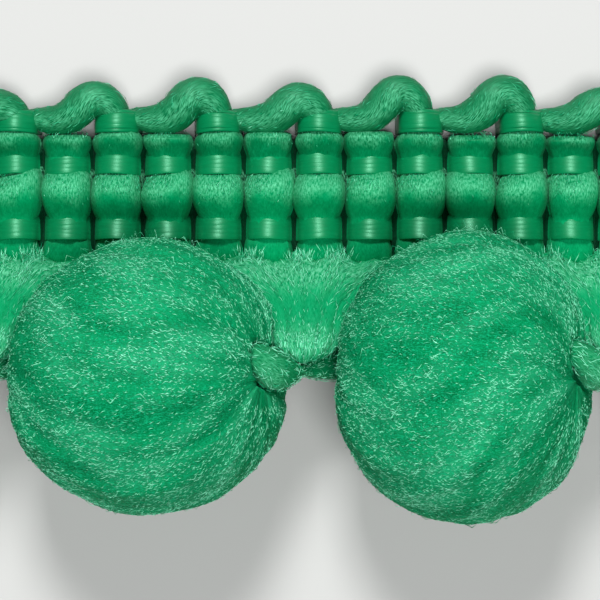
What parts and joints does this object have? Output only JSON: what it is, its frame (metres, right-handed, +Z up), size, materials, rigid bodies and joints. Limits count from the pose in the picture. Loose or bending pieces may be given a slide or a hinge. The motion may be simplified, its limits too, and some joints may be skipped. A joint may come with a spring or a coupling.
{
  "type": "pompom fringe trim",
  "caption": "Narrow braided trim with a picot edge; puffed pompoms of crimped fibre hang below the band, each pinched at a neck and caught by gathered yarns",
  "frame": {"origin": "centre of the bounding box, on the plane that the back lies on", "axes": "+X runs along the trim, +Y points to the picot edge, +Z points up out of the shown face"},
  "size_m": [0.049, 0.0172, 0.0103],
  "materials": {
    "heading_yarn": "soft yarn bound by smooth fine thread",
    "skirt_yarn": "brushed yarn",
    "neck_fibre": "pinched crimped fibre",
    "pompom_fibre": "puffed crimped fibre with fine bright glints"
  },
  "bodies": {
    "root": {"heading": "heading_yarn", "skirt_1": "skirt_yarn", "skirt_2": "skirt_yarn", "skirt_3": "skirt_yarn", "skirt_4": "skirt_yarn", "skirt_5": "skirt_yarn", "neck_1": "neck_fibre", "neck_2": "neck_fibre", "neck_3": "neck_fibre", "neck_4": "neck_fibre", "neck_5": "neck_fibre", "pompom_1": "pompom_fibre", "pompom_2": "pompom_fibre", "pompom_3": "pompom_fibre", "pompom_4": "pompom_fibre"}
  },
  "joints": []
}
